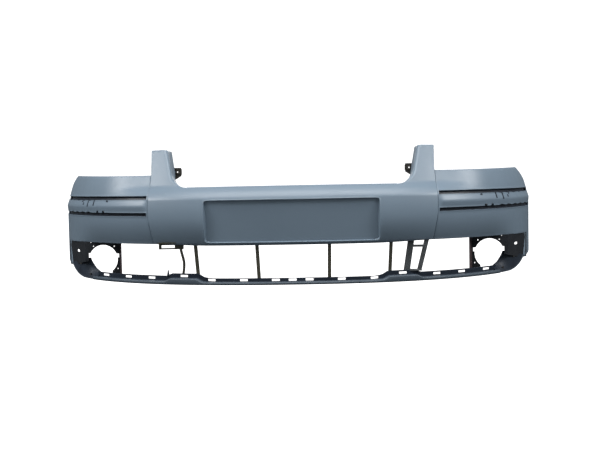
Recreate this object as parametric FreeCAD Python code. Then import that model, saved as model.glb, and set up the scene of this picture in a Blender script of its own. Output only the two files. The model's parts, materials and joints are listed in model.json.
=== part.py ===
import FreeCAD, Part
import math
import os

# Front bumper cover of a saloon car, in millimetres.
# +X is across the car, -Y is the way it drives, +Z is up, z = 0 is the underside of the lower lip.
# "depth" is the distance behind the foremost line of the cover, "inset" is the distance behind its outer face.

V = FreeCAD.Vector

# driving dimensions
WALL = 3.0
PLAN_HALF_WIDTH = 880.0
PLAN_DEPTH = 620.0
PLAN_POWER = 2.4
PLAN_ROUNDING = 0.55
TOTAL_DEPTH = 566.0
FOREMOST_DEPTH = 5.0

BODY_BOTTOM = 125.0
BEAM_TOP = 302.0
HORN_TOP = 425.0
HORN_INNER = (373.0, 403.0)
HORN_OUTER = 457.0
HORN_FILLET = 62.0
PANEL_LINE = 451.0
PANEL_FOOT = 436.0
PANEL_BEND = 215.0
WING_START = 430.0
WING_STEP = 2.0
FLANGE_DEPTH = 62.0

WING_TOP_INNER = 342.0
WING_TOP_OUTER = 357.0
WING_CORNER_DEPTH = 398.0
ARCH_TOP_DEPTH = 556.0
ARCH_TOP_HEIGHT = 278.0
TAIL_BOTTOM = ((366.0, 45.0), (388.0, 43.0), (415.0, 49.0), (480.0, 55.0), (540.0, 58.0), (556.0, 64.0))

RECESS_HALF_WIDTH = 267.0
RECESS_BOTTOM = 131.0
RECESS_TOP = 257.0
RECESS_DEPTH = 5.5
RECESS_CORNER = 9.0

SLOT_START = 456.0
SLOT_END = 865.0
UPPER_SLOT = (271.0, 281.0, 12.0)
LOWER_SLOT = (218.0, 227.0, 11.5)
CHANNEL_DEPTH = 9.0
CHANNEL_LIP = 6.0
TRIM_CLIPS = ((607.0, 261.0, 5.0), (724.0, 264.0, 3.2))

LIP_SETBACK = 10.0
LIP_THICKNESS = 2.0
LIP_HEIGHT = (9.0, 20.0, 11.0)
SLOT_FOOT = (10.5, 22.5, 15.0)
RAIL_HEIGHT = (19.5, 34.0, 26.0)
RAIL_WALL_INSET = 20.0
RAIL_RAISED = (290.0, 397.0)
RAIL_END = 690.0
RAIL_FLOOR_DEPTH = 46.0
RAIL_SLOT_HEIGHT = 6.5
RAIL_SLOTS = ((0.0, 24.0), (52.0, 24.0), (152.0, 24.0), (255.0, 24.0), (347.0, 26.0), (462.0, 27.0), (552.0, 29.0),
              (649.0, 34.0))
RAIL_HOOK = (-392.0, 45.0)
BEVEL_RIM = ((668, 219, 1.5), (696, 242, 1.9), (727, 271, 5), (759, 308, 15), (783, 340, 30), (802, 368, 48))
BEVEL_ROOT = ((660, 258, 22), (668, 258, 29), (677, 259, 37), (685, 260, 47), (694, 262, 60), (700, 266, 72))
VALANCE_PINS = ((695.0, 18.0), (744.0, 50.0))
PIN_HEAD = 6.4
PIN_SHANK = 4.4
PIN_STANDOFF = 6.5

STRUTS = ((-292.0, -301.0), (-102.0, -108.0), (112.0, 114.0), (297.0, 304.0))
STRUT_WIDTH = 11.0
STRUT_DEPTH = 26.0

FOG_X = 651.0
FOG_Z = 66.0
FOG_HOLE = 98.0
FOG_PLATE_DEPTH = 250.0
FOG_INNER = 594.0
FOG_OUTER = 712.0
FOG_SIDE_START = (573.0, 190.0)
FOG_SIDE_END = (818.0, 394.0)
FOG_SCREW_HOLE = 6.0
FOG_SCREWS = ((34.0, 45.0), (-37.0, 44.0), (-48.0, -32.0))
OVAL_PLACE = (757.0, 93.0)
OVAL_LENGTH = 17.0
OVAL_HEIGHT = 9.0

TAB_X = 381.0
TAB_Z = 355.0
TAB_WIDTH = 26.0
TAB_HEIGHT = 27.0
TAB_HOLE = 7.0
TAB_DEPTH = 203.0

ARCH_FLANGE = 18.0
ARCH_HOLE_INSET = 11.0
ARCH_HOLE = 6.0
ARCH_NUT_HEIGHTS = (90.0, 150.0, 210.0)
GUIDE_DEPTHS = (404.0, 548.0)
GUIDE_TAB = (230.0, 262.0)
LEDGE_ENDS = (474.0, 775.0)
LEDGE_HOLES = (520.0, 610.0, 700.0)
LEDGE_HOLE = 7.0

Y_SHIFT = -(TOTAL_DEPTH + FOREMOST_DEPTH) / 2.0


# the outer face

def plan_depth(x):
    share = min(1.0, (abs(x) / PLAN_HALF_WIDTH) ** PLAN_POWER)
    return PLAN_DEPTH * (1.0 - (1.0 - share) ** PLAN_ROUNDING)


def plan_frame(x):
    """The plan curve at x: its depth, and its inward normal as (across, back)."""
    step = 0.25
    ahead = min(x + step, PLAN_HALF_WIDTH)
    behind = max(x - step, -PLAN_HALF_WIDTH)
    run = ahead - behind
    rise = plan_depth(ahead) - plan_depth(behind)
    size = math.hypot(run, rise)
    return plan_depth(x), (-rise / size, run / size)


def x_at_depth(depth):
    share = 1.0 - (1.0 - depth / PLAN_DEPTH) ** (1.0 / PLAN_ROUNDING)
    return PLAN_HALF_WIDTH * share ** (1.0 / PLAN_POWER)


def smooth(value, low, high):
    share = max(0.0, min(1.0, (value - low) / (high - low)))
    return share * share * (3.0 - 2.0 * share)


def beam_setback(z):
    """How far the centre of the cover leans back from its foremost line, by height."""
    below = max(0.0, 205.0 - z)
    above = max(0.0, z - 205.0)
    rolled = 34.0 * smooth(z, 262.0, 310.0)
    lean = max(0.0, z - 285.0) * 0.44
    return 22.0 * (below / 80.0) ** 2 + 0.0018 * above ** 2 * (1.0 - smooth(z, 262.0, 300.0)) + rolled + lean


def wing_setback(x, z):
    """The same for the wings, which stand more upright, and are straight below at the wheel arches."""
    below = max(0.0, 205.0 - z)
    above = max(0.0, z - 205.0)
    tuck = 1.0 - smooth(abs(x), 640.0, 800.0)
    return 22.0 * (below / 80.0) ** 2 * tuck + 0.0014 * above ** 2


def setback(x, z):
    share = smooth(abs(x), 440.0, 640.0)
    return beam_setback(z) * (1.0 - share) + wing_setback(x, z) * share


def cover_point(x, z, inset):
    """A point behind the outer face; the beam leans straight back, the wings lean along their normal."""
    depth, normal = plan_frame(x)
    share = smooth(abs(x), 440.0, 640.0)
    lean = setback(x, z)
    across = normal[0] * (inset + lean * share)
    back = normal[1] * (inset + lean * share) + lean * (1.0 - share)
    return V(x + across, depth + back + Y_SHIFT, z)


def wing_point(x, z, inset):
    return cover_point(x, z, inset + WING_STEP)


def rail_point(x, z, inset):
    depth, normal = plan_frame(x)
    q = LIP_SETBACK + inset
    return V(x + normal[0] * q, depth + normal[1] * q + Y_SHIFT, z)


# solids from grids of points

def spline_surface(grid):
    surface = Part.BSplineSurface()
    surface.interpolate(grid)
    return surface


def rims(surface):
    """The four boundary curves of a surface."""
    u0, u1, v0, v1 = surface.bounds()
    return [surface.uIso(u0), surface.uIso(u1), surface.vIso(v0), surface.vIso(v1)]


def solid_between(front, back):
    """The closed solid between two grids of the same size."""
    face = spline_surface(front)
    rear = spline_surface(back)
    faces = [face.toShape(), rear.toShape()]
    for near, far in zip(rims(face), rims(rear)):
        faces.append(Part.makeRuledSurface(near.toShape(), far.toShape()))
    shell = Part.makeShell(faces)
    shell.sewShape(0.01)
    solid = Part.Solid(shell)
    if solid.Volume < 0:
        solid.reverse()
    return solid


def swept(sections):
    """The closed solid through a row of plane polygons with equally many corners."""
    count = len(sections[0])
    lines = []
    for k in range(count):
        curve = Part.BSplineCurve()
        curve.interpolate([section[k] for section in sections])
        lines.append(curve.toShape())
    faces = [Part.makeRuledSurface(lines[k], lines[(k + 1) % count]) for k in range(count)]
    for section in (sections[0], sections[-1]):
        faces.append(Part.Face(Part.makePolygon(section + section[:1])))
    shell = Part.makeShell(faces)
    shell.sewShape(0.01)
    solid = Part.Solid(shell)
    if solid.Volume < 0:
        solid.reverse()
    return solid


def stations(start, end, count):
    """Places along X, closer together where the plan curve turns back."""
    if abs(end) < abs(start) or start * end < 0:
        return [start + (end - start) * i / (count - 1) for i in range(count)]
    sign = 1.0 if end > 0 else -1.0
    start, end = abs(start), abs(end)
    fine = 400
    length = [0.0]
    xs = [start + (end - start) * i / fine for i in range(fine + 1)]
    for a, b in zip(xs, xs[1:]):
        length.append(length[-1] + math.hypot(b - a, plan_depth(b) - plan_depth(a)))
    out = []
    k = 0
    for i in range(count):
        want = length[-1] * i / (count - 1)
        while k < fine - 1 and length[k + 1] < want:
            k += 1
        share = (want - length[k]) / (length[k + 1] - length[k])
        out.append(sign * (xs[k] + (xs[k + 1] - xs[k]) * share))
    return out


def patch(point, x_range, z_low, z_high, inset, nx=28, nz=14):
    """A curved slab: z_low and z_high are numbers or functions of x, inset is (front, back)."""
    low = z_low if callable(z_low) else lambda x: z_low
    high = z_high if callable(z_high) else lambda x: z_high
    xs = stations(x_range[0], x_range[1], nx)
    grids = []
    for q in inset:
        grid = []
        for x in xs:
            zs = [low(x) + (high(x) - low(x)) * j / (nz - 1) for j in range(nz)]
            grid.append([point(x, z, q) for z in zs])
        grids.append(grid)
    return solid_between(grids[0], grids[1])


def box(x, y, z):
    """A box from its (low, high) ranges."""
    place = V(min(x), min(y), min(z))
    return Part.makeBox(abs(x[1] - x[0]), abs(y[1] - y[0]), abs(z[1] - z[0]), place)


def front_prism(points, arcs=()):
    """A prism through the whole depth from an outline in X and Z; arcs gives fillet radii by corner."""
    return prism_from(points, dict(arcs), lambda a, b: V(a, -TOTAL_DEPTH, b), V(0, 2.0 * TOTAL_DEPTH, 0))


def side_prism(points, sign, arcs=()):
    """A prism across one half from an outline in depth and Z."""
    return prism_from(points, dict(arcs), lambda a, b: V(0, a + Y_SHIFT, b), V(sign * 1000.0, 0, 0))


def prism_from(points, radii, place, along):
    corners = [place(a, b) for a, b in points]
    edges = []
    ends = []
    count = len(corners)
    for i, corner in enumerate(corners):
        before = corners[i - 1] - corner
        after = corners[(i + 1) % count] - corner
        radius = radii.get(i, 0.0)
        if radius <= 0.0:
            ends.append((corner, corner))
            continue
        turn = before.getAngle(after)
        back = radius / math.tan(turn / 2.0)
        start = corner + V(before).normalize() * back
        stop = corner + V(after).normalize() * back
        middle_way = (V(before).normalize() + V(after).normalize()).normalize()
        middle = corner + middle_way * (radius / math.sin(turn / 2.0) - radius)
        edges.append(Part.Arc(start, middle, stop).toShape())
        ends.append((start, stop))
    for i in range(count):
        a = ends[i][1]
        b = ends[(i + 1) % count][0]
        if a.distanceToPoint(b) > 1e-6:
            edges.append(Part.LineSegment(a, b).toShape())
    wire = Part.Wire(Part.__sortEdges__(edges))
    return Part.Face(wire).extrude(along)


def rounded_rect(x, z, radius):
    return front_prism([(x[0], z[0]), (x[1], z[0]), (x[1], z[1]), (x[0], z[1])], {i: radius for i in range(4)})


def largest(shape):
    """The biggest solid of a cut shape, without the slivers that the cut leaves."""
    return max(shape.Solids, key=lambda solid: solid.Volume)


def save(name, shape):
    shape = shape.removeSplitter() if len(shape.Solids) == 1 else shape
    if not shape.isValid():
        print("not valid:", name)
    print(name, "solids", len(shape.Solids), "volume", round(shape.Volume / 1000.0, 1), "cm3")
    shape.exportStep(f"parts/{name}.step")


# upper cover

def horn_window():
    """The cut above the beam, between the horns, for the radiator grille."""
    return horn_outline(0.0)


def horn_outline(grow):
    """The window's outline, grown to all sides; it widens evenly towards its open top."""
    foot = HORN_INNER[0] + grow
    rise = 2.0
    top = foot + rise * (HORN_INNER[1] - HORN_INNER[0])
    low = BEAM_TOP - grow
    high = low + rise * (HORN_TOP - BEAM_TOP)
    return front_prism(
        [(-foot, low), (foot, low), (top, high), (-top, high)], {0: HORN_FILLET + grow, 1: HORN_FILLET + grow}
    )


def recess_outline(grow=0.0):
    x = RECESS_HALF_WIDTH + grow
    return rounded_rect((-x, x), (RECESS_BOTTOM - grow, RECESS_TOP + grow), RECESS_CORNER + grow)


def beyond_panel_line(sign):
    """What lies outside the centre's edge: slanted below, upright beside the wing, leaning out on the horn."""
    edge = [(PANEL_FOOT, BODY_BOTTOM - 5.0), (PANEL_LINE, PANEL_BEND), (PANEL_LINE, WING_TOP_INNER)]
    far = HORN_OUTER + 60.0
    edge += [(HORN_OUTER, HORN_TOP + 5.0), (far, HORN_TOP + 5.0), (far, BODY_BOTTOM - 5.0)]
    return front_prism([(sign * x, z) for x, z in edge])


def centre_skin():
    x = HORN_OUTER + 2.0
    skin = patch(cover_point, (-x, x), BODY_BOTTOM, HORN_TOP, (0.0, WALL), 41, 45)
    skin = skin.cut([horn_window(), beyond_panel_line(-1), beyond_panel_line(1)])
    pan = patch(cover_point, (-300.0, 300.0), 110.0, 275.0, (1.0, RECESS_DEPTH + WALL), 29, 15)
    pan = pan.common(recess_outline(2.4))
    hollow = patch(cover_point, (-300.0, 300.0), 110.0, 275.0, (-6.0, RECESS_DEPTH), 29, 15)
    hollow = hollow.common(recess_outline())
    return skin.fuse(pan).cut(hollow)


def horn_flanges(sign):
    """The return flanges along both edges of one horn."""
    deep = patch(cover_point, (sign * 290.0, sign * 490.0), BEAM_TOP - 40.0, HORN_TOP, (0.5, FLANGE_DEPTH), 15, 25)
    inner = deep.common(horn_outline(WALL)).cut(horn_window())
    inner = inner.cut(box((-310.0, 310.0), (-400.0, 400.0), (0.0, 600.0)))
    low = WING_TOP_INNER + 2.0
    edge = [(PANEL_LINE - WALL, low), (PANEL_LINE, low), (HORN_OUTER, HORN_TOP), (HORN_OUTER - WALL, HORN_TOP)]
    outer = deep.common(front_prism([(sign * x, z) for x, z in edge]))
    return inner.fuse(outer)


def slot_edge(slot, level):
    """The height of a slot's lower (0) or upper (1) edge, which climbs towards the wheel arch."""
    inner, outer, tall = slot

    def height(x):
        share = (plan_depth(x) - plan_depth(SLOT_START)) / (plan_depth(SLOT_END) - plan_depth(SLOT_START))
        return inner + (outer - inner) * share + tall * (level - 0.5)

    return height


def wing_skin(sign):
    ends = (sign * WING_START, sign * x_at_depth(ARCH_TOP_DEPTH))
    skin = patch(wing_point, ends, 33.0, WING_TOP_OUTER + 10.0, (0.0, WALL), 44, 24)
    top_waste = [
        (60.0, 420.0), (60.0, WING_TOP_INNER), (150.0, WING_TOP_INNER + 1.0),
        (WING_CORNER_DEPTH, WING_TOP_OUTER), (ARCH_TOP_DEPTH + 3.0, ARCH_TOP_HEIGHT), (640.0, ARCH_TOP_HEIGHT - 30.0),
        (640.0, 420.0),
    ]
    tail_front = TAIL_BOTTOM[0][0]
    low_waste = [(30.0, 0.0), (30.0, BODY_BOTTOM), (tail_front - 10.0, BODY_BOTTOM - 3.0)]
    low_waste += [(tail_front + 18.0, BODY_BOTTOM - 5.0), *TAIL_BOTTOM]
    low_waste += [(640.0, TAIL_BOTTOM[-1][1]), (640.0, 0.0)]
    skin = skin.cut(side_prism(top_waste, sign, {3: 14.0}))
    skin = skin.cut(side_prism(low_waste, sign, {3: 8.0, 4: 6.0}))
    for slot in (UPPER_SLOT, LOWER_SLOT):
        band = patch(
            wing_point, (sign * SLOT_START, sign * SLOT_END), slot_edge(slot, 0), slot_edge(slot, 1), (-6.0, 9.0),
            30, 4,
        )
        skin = skin.cut(band)
    return skin


def upper_cover():
    cover = centre_skin()
    for sign in (-1, 1):
        cover = cover.fuse(horn_flanges(sign))
        cover = cover.fuse(wing_skin(sign))
    return cover


# lower valance

def rail_level(levels, x):
    """A height along the rail from its values in the centre, on the raised stretches and at the sides."""
    centre, raised, side = levels
    base = centre + (side - centre) * smooth(abs(x), 250.0, 300.0)
    low, high = RAIL_RAISED
    share = smooth(abs(x), low - 12.0, low + 12.0) * (1.0 - smooth(abs(x), high - 12.0, high + 12.0))
    return base + (raised - base) * share


def rail_section(x):
    """The rail's outline as (inset, height): rounded lip, ledge, slotted wall and floor."""
    lip = rail_level(LIP_HEIGHT, x)
    top = rail_level(RAIL_HEIGHT, x)
    thin = LIP_THICKNESS
    under = lip - thin
    back = RAIL_WALL_INSET + thin
    return [
        (2.5, -1.0), (0.0, 3.0), (0.0, lip - 4.0), (1.5, lip - 1.2), (5.0, lip), (RAIL_WALL_INSET, lip),
        (RAIL_WALL_INSET, top), (back, top), (back, under), (5.0, under), (thin, under - 2.5), (thin, thin),
        (RAIL_FLOOR_DEPTH, thin), (RAIL_FLOOR_DEPTH, -1.0),
    ]


def half_rail():
    """Half of the rail, cut flat underneath, where it stands."""
    xs = stations(0.0, RAIL_END, 60)
    rail = swept([[rail_point(x, z, inset) for inset, z in rail_section(x)] for x in xs])
    return rail.cut(box((-50.0, 900.0), (-TOTAL_DEPTH, TOTAL_DEPTH), (-20.0, 0.0)))


def rail_slot(x, width):
    """A slot through the rail's wall, square to it."""
    centre = rail_point(x, rail_level(SLOT_FOOT, x), RAIL_WALL_INSET)
    across, back = plan_frame(x)[1]
    slot = box((-width / 2.0, width / 2.0), (-6.0, 9.0), (0.0, RAIL_SLOT_HEIGHT))
    slot.rotate(V(0, 0, 0), V(0, 0, 1), math.degrees(math.atan2(-across, back)))
    slot.translate(centre)
    return slot


def curve_through(points, count):
    """Evenly numbered points on a smooth curve through a few given ones."""
    curve = Part.BSplineCurve()
    curve.interpolate(points)
    low, high = curve.FirstParameter, curve.LastParameter
    return [curve.value(low + (high - low) * i / (count - 1)) for i in range(count)]


def thick_sheet(rows, offset):
    """A sheet through rows of points, thickened by one offset vector."""
    return solid_between(rows, [[point + offset for point in row] for row in rows])


def at(x, depth, z):
    return V(x, depth + Y_SHIFT, z)


def corner_bevel():
    """The curved face that runs from the lip round the lower outer corner up to the tail."""
    edge = curve_through([at(x, d, z) for x, d, z in BEVEL_RIM], 25)
    inner = curve_through([at(x, d, z) for x, d, z in BEVEL_ROOT], 25)
    rows = []
    for a, b in zip(edge, inner):
        crown = [0.0, 0.34, 0.67, 1.0]
        rows.append([a + (b - a) * share + V(0, -7.0 * math.sin(math.pi * share), 0) for share in crown])
    return thick_sheet(rows, V(0, 1.35 * WALL, 0))


def rail_hook():
    """A pointed hook on top of the slotted wall, beside the clip frame."""
    x, top = RAIL_HOOK
    y = rail_point(x, 0.0, RAIL_WALL_INSET).y + 1.0
    foot = rail_level(RAIL_HEIGHT, x) - 8.0
    corners = [V(x - 4.5, y, foot), V(x + 4.5, y, foot), V(x + 1.0, y, top), V(x - 1.0, y, top)]
    return Part.Face(Part.makePolygon(corners + corners[:1])).extrude(V(0, LIP_THICKNESS, 0))


def lower_valance():
    half = half_rail().fuse(corner_bevel())
    for place, width in RAIL_SLOTS[1:]:
        half = half.cut(rail_slot(place, width))
    valance = half.fuse(half.mirror(V(0, 0, 0), V(1, 0, 0)))
    return valance.fuse(rail_hook()).cut(rail_slot(*RAIL_SLOTS[0]))


# fog lamp carriers

def offset_line(points, thickness):
    """A polyline in plan, thickened to its left by mitred corners."""
    shifted = []
    for i, (x, d) in enumerate(points):
        before = points[max(i - 1, 0)]
        after = points[min(i + 1, len(points) - 1)]
        first = (x - before[0], d - before[1]) if i > 0 else (after[0] - x, after[1] - d)
        second = (after[0] - x, after[1] - d) if i < len(points) - 1 else first
        a = math.atan2(first[1], first[0])
        b = math.atan2(second[1], second[0])
        half = (b - a) / 2.0
        turn = a + half + math.pi / 2.0
        reach = thickness / math.cos(half)
        shifted.append((x + reach * math.cos(turn), d + reach * math.sin(turn)))
    return list(points) + shifted[::-1]


def plan_wall(points, sign, z_low, z_high, thickness=WALL):
    outline = offset_line(points, thickness)
    corners = [at(sign * x, d, z_low) for x, d in outline]
    face = Part.Face(Part.makePolygon(corners + corners[:1]))
    return face.extrude(V(0, 0, z_high - z_low))


def hole_y(x, z, diameter):
    return Part.makeCylinder(diameter / 2.0, 3000.0, V(x, -1500.0, z), V(0, 1, 0))


def hole_up(place, diameter):
    return Part.makeCylinder(diameter / 2.0, 600.0, V(place.x, place.y, 0.0), V(0, 0, 1))


def bay_waste(sign):
    """What lies below and outside the bevel's root, in front view."""
    points = [
        (500, -20), (500, 6), (604, 6), (650, 9), (680, 22), (697, 44), (700, 62), (790, 40), (850, 40), (850, -20),
    ]
    return front_prism([(sign * x, z) for x, z in points], {4: 14.0})


def fog_lamp_carrier(sign, cover, valance):
    bend = (FOG_INNER - 6.0, FOG_PLATE_DEPTH - 14.0)
    route = [FOG_SIDE_START, bend, (FOG_INNER, FOG_PLATE_DEPTH), (FOG_OUTER, FOG_PLATE_DEPTH), FOG_SIDE_END]
    carrier = plan_wall(route, sign, 6.0, BODY_BOTTOM + 2.0)
    carrier = carrier.cut(bay_waste(sign))
    roof_points = [FOG_SIDE_START, (650.0, 228.0), (728.0, 290.0), FOG_SIDE_END, (FOG_OUTER, FOG_PLATE_DEPTH)]
    roof_points += [(FOG_INNER, FOG_PLATE_DEPTH), bend]
    corners = [at(sign * x, d, BODY_BOTTOM - 4.0) for x, d in roof_points]
    carrier = carrier.fuse(Part.Face(Part.makePolygon(corners + corners[:1])).extrude(V(0, 0, WALL)))
    x = sign * FOG_X
    carrier = carrier.cut(hole_y(x, FOG_Z, FOG_HOLE))
    through = (at(0, FOG_PLATE_DEPTH - 5.0, 0).y, at(0, FOG_PLATE_DEPTH + 8.0, 0).y)
    foot = box((x - 30.0, x + 30.0), through, (0.0, FOG_Z - 30.0))
    notch = box((x, x - sign * 54.0), through, (FOG_Z + 6.0, FOG_Z + 19.0))
    step = box((x, x + sign * 50.0), through, (FOG_Z - 4.0, FOG_Z + 22.0))
    carrier = carrier.cut([foot, notch, step])
    for across, up in FOG_SCREWS:
        carrier = carrier.cut(hole_y(x + sign * across, FOG_Z + up, FOG_SCREW_HOLE))
    x, z = sign * OVAL_PLACE[0], OVAL_PLACE[1]
    oval_x = (x - OVAL_LENGTH / 2.0, x + OVAL_LENGTH / 2.0)
    oval = rounded_rect(oval_x, (z - OVAL_HEIGHT / 2.0, z + OVAL_HEIGHT / 2.0), OVAL_HEIGHT / 2.0 - 0.1)
    carrier = carrier.cut(oval)
    return largest(carrier.cut([cover, valance]))


def fog_lamp_nuts(sign, carrier):
    """Sheet nuts clipped behind the three screw holes of a carrier."""
    nuts = []
    back = at(0, FOG_PLATE_DEPTH + WALL, 0).y
    for across, up in FOG_SCREWS:
        x = sign * (FOG_X + across)
        z = FOG_Z + up
        nut = box((x - 6.0, x + 6.0), (back, back + 1.2), (z - 5.0, z + 5.0))
        nut = nut.fuse(Part.makeCylinder(3.6, 4.0, V(x, back, z), V(0, 1, 0)))
        nut = nut.cut(hole_y(x, z, 4.2)).cut(carrier)
        nuts.append(nut)
    return Part.makeCompound(nuts)


# struts and frames of the intake

def depth_behind_rail(x):
    return rail_point(x, 0.0, RAIL_WALL_INSET + WALL).y


def intake_strut(foot_x, head_x, cover, valance):
    """A slightly leaning strut of T section, with a small plate at its foot and at its head."""
    y = depth_behind_rail(head_x)
    foot = (foot_x, WALL)
    head = (head_x, BODY_BOTTOM + 4.0)
    web = slanted_bar(foot, head, WALL, y, STRUT_DEPTH)
    face = slanted_bar(foot, head, STRUT_WIDTH, y, WALL)
    upper = box((head_x - 12.0, head_x + 12.0), (y - 12.0, y + STRUT_DEPTH), (BODY_BOTTOM + 3.0, BODY_BOTTOM + 6.0))
    lower = box((foot_x - 10.0, foot_x + 10.0), (y, y + 12.0), (WALL, WALL + 3.0))
    strut = web.fuse([face, upper, lower])
    return largest(strut.cut([cover, valance]))


def slanted_bar(foot, head, width, y, deep):
    """An upright bar between two (x, z) ends."""
    half = width / 2.0
    places = [(foot, -half), (foot, half), (head, half), (head, -half)]
    points = [V(x + shift, y, z) for (x, z), shift in places]
    return Part.Face(Part.makePolygon(points + points[:1])).extrude(V(0, deep, 0))


def tow_eye_frame(cover, valance):
    """Two slanted uprights with a cross bar, round the hole of the towing eye."""
    y = depth_behind_rail(380.0) + 6.0
    top = BODY_BOTTOM + 4.0
    foot = RAIL_HEIGHT[1] - 4.0
    left = slanted_bar((355.0, foot), (370.0, top), 17.0, y, 24.0)
    right = slanted_bar((394.0, foot), (419.0, top), 11.0, y, 24.0)
    bar = box((366.0, 414.0), (y, y + 24.0), (103.0, 109.0))
    head = box((358.0, 426.0), (y - 20.0, y + 24.0), (top - 1.0, top + 2.0))
    seat = box((347.0, 399.0), (y - 12.0, y + 24.0), (foot, foot + WALL))
    return largest(left.fuse([right, bar, head, seat]).cut([cover, valance]))


def grille_clip_frame(cover, valance):
    """A thin-barred frame under the body, which takes the hook of a side grille."""
    y = depth_behind_rail(375.0) - 4.0
    ends = (-418.0, -343.0)
    frame = box(ends, (y, y + 18.0), (109.0, BODY_BOTTOM + 4.0))
    slot = box((-413.0, -368.0), (y - 1.0, y + 30.0), (112.5, BODY_BOTTOM - 3.0))
    head = box(ends, (y - 12.0, y + 18.0), (BODY_BOTTOM + 3.0, BODY_BOTTOM + 6.0))
    return largest(frame.cut(slot).fuse(head).cut([cover, valance]))


def valance_strap(valance, clip_frame):
    y = depth_behind_rail(345.0)
    route = [V(-350.0, y, 112.0), V(-346.0, y, 92.0), V(-341.0, y, 70.0), V(-341.0, y, 50.0), V(-344.0, y, 30.0)]
    line = curve_through(route, 15)
    left = [point + V(-2.5, 0, 0) for point in line]
    right = [point + V(2.5, 0, 0) for point in line]
    sections = [[a, b, b + V(0, 18.0, 0), a + V(0, 18.0, 0)] for a, b in zip(left, right)]
    return swept(sections).cut([valance, clip_frame])


# brackets and clips of the horns

def horn_bracket(sign, cover):
    """A screw tab that faces forwards, with a gusset below it."""
    y = at(0, TAB_DEPTH, 0).y
    inner = sign * (TAB_X - TAB_WIDTH / 2.0)
    outer = sign * (HORN_INNER[1] + 1.0)
    tab = box((inner, outer), (y, y + WALL), (TAB_Z - TAB_HEIGHT / 2.0, TAB_Z + TAB_HEIGHT / 2.0))
    tab = tab.cut(hole_y(sign * TAB_X, TAB_Z, TAB_HOLE))
    side = box((outer, outer - sign * WALL), (y - 26.0, y + WALL), (TAB_Z - 34.0, TAB_Z + TAB_HEIGHT / 2.0))
    low = TAB_Z - TAB_HEIGHT / 2.0
    corners = [V(outer, y + WALL, low), V(inner, y + WALL, low), V(outer, y + WALL, low - 22.0)]
    gusset = Part.Face(Part.makePolygon(corners + corners[:1])).extrude(V(0, -WALL, 0))
    return tab.fuse([side, gusset]).cut(cover)


def horn_clip_nut(sign, bracket):
    """A sprung sheet nut pushed over the edge of the tab."""
    y = at(0, TAB_DEPTH, 0).y
    x = sign * TAB_X
    reach = (sign * (TAB_X - TAB_WIDTH / 2.0 - 1.5), x + sign * 8.0)
    front = box(reach, (y - 1.5, y), (TAB_Z - 9.0, TAB_Z + 9.0))
    back = box(reach, (y + WALL, y + WALL + 1.5), (TAB_Z - 9.0, TAB_Z + 9.0))
    bend_x = (reach[0], reach[0] + sign * 1.5)
    bend = box(bend_x, (y - 1.5, y + WALL + 1.5), (TAB_Z - 9.0, TAB_Z + 9.0))
    collar = Part.makeCylinder(5.0, 5.0, V(x, y + WALL, TAB_Z), V(0, 1, 0))
    front = front.cut(hole_y(x, TAB_Z, TAB_HOLE + 0.6))
    rear = back.fuse([bend, collar]).cut(hole_y(x, TAB_Z, 5.2))
    return front.fuse(rear).cut(bracket)


# pieces behind the wings

def trim_channel(sign, slot):
    """A tray behind one trim slot, open to the front."""
    low, high = slot_edge(slot, 0), slot_edge(slot, 1)
    ends = (sign * (SLOT_START - 4.0), sign * (SLOT_END + 1.0))
    back = WALL + CHANNEL_DEPTH
    outer = patch(
        wing_point, ends, lambda x: low(x) - CHANNEL_LIP, lambda x: high(x) + CHANNEL_LIP, (WALL, back), 30, 4,
    )
    hollow = (sign * SLOT_START, sign * SLOT_END)
    inner = patch(wing_point, hollow, low, high, (-6.0, back - 2.0), 30, 4)
    return outer.cut(inner)


def normal_pin(x, z, inset_from, inset_to, radius):
    start = wing_point(x, z, inset_from)
    stop = wing_point(x, z, inset_to)
    return Part.makeCylinder(radius, start.distanceToPoint(stop), start, stop - start)


def trim_clip_stems(sign):
    return [normal_pin(sign * x, z, -3.0, 9.0, radius * 0.55) for x, z, radius in TRIM_CLIPS]


def trim_clips(sign, cover):
    """Push clips through the band between the two slots, in its outer half."""
    clips = []
    for x, z, radius in TRIM_CLIPS:
        head = normal_pin(sign * x, z, -1.8, 0.6, radius).cut(cover)
        stem = normal_pin(sign * x, z, -0.5, 9.0, radius * 0.55)
        clips.append(largest(head.fuse(stem).cut(cover)))
    return Part.makeCompound(clips)


def wing_top(x):
    share = (plan_depth(x) - 115.0) / (WING_CORNER_DEPTH - 150.0)
    return WING_TOP_INNER + (WING_TOP_OUTER - WING_TOP_INNER) * max(0.0, min(1.0, share))


def headlamp_ledge(sign, cover):
    ends = (sign * LEDGE_ENDS[0], sign * LEDGE_ENDS[1])
    ledge = patch(wing_point, ends, lambda x: wing_top(x) - 12.0, lambda x: wing_top(x) - 9.0, (WALL, 30.0), 24, 3)
    for x in LEDGE_HOLES:
        place = wing_point(sign * x, 0.0, 20.0)
        ledge = ledge.cut(hole_up(place, LEDGE_HOLE))
    return ledge.cut(cover)


def grille_ledge(cover):
    ledge = patch(cover_point, (-300.0, 300.0), 291.0, 294.0, (WALL, 34.0), 21, 3)
    for x in (-240.0, -120.0, 0.0, 120.0, 240.0):
        place = cover_point(x, 292.0, 24.0)
        ledge = ledge.cut(hole_up(place, LEDGE_HOLE))
    return ledge.cut(cover)


def arch_band(sign, depths, z_range, inset):
    ends = (sign * x_at_depth(depths[0]), sign * x_at_depth(depths[1]))
    return patch(wing_point, ends, z_range[0], z_range[1], inset, 4, 14)


def wheel_arch_flange(sign, cover):
    low = TAIL_BOTTOM[-1][1] - 4.0
    flange = arch_band(sign, (548.0, 552.0), (low, GUIDE_TAB[0] - 4.0), (WALL, ARCH_FLANGE))
    for z in ARCH_NUT_HEIGHTS:
        flange = flange.cut(hole_y(arch_hole(sign, z).x, z, ARCH_HOLE))
    return largest(flange.cut(cover))


def arch_hole(sign, z):
    return wing_point(sign * x_at_depth(550.0), z, ARCH_HOLE_INSET)


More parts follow.
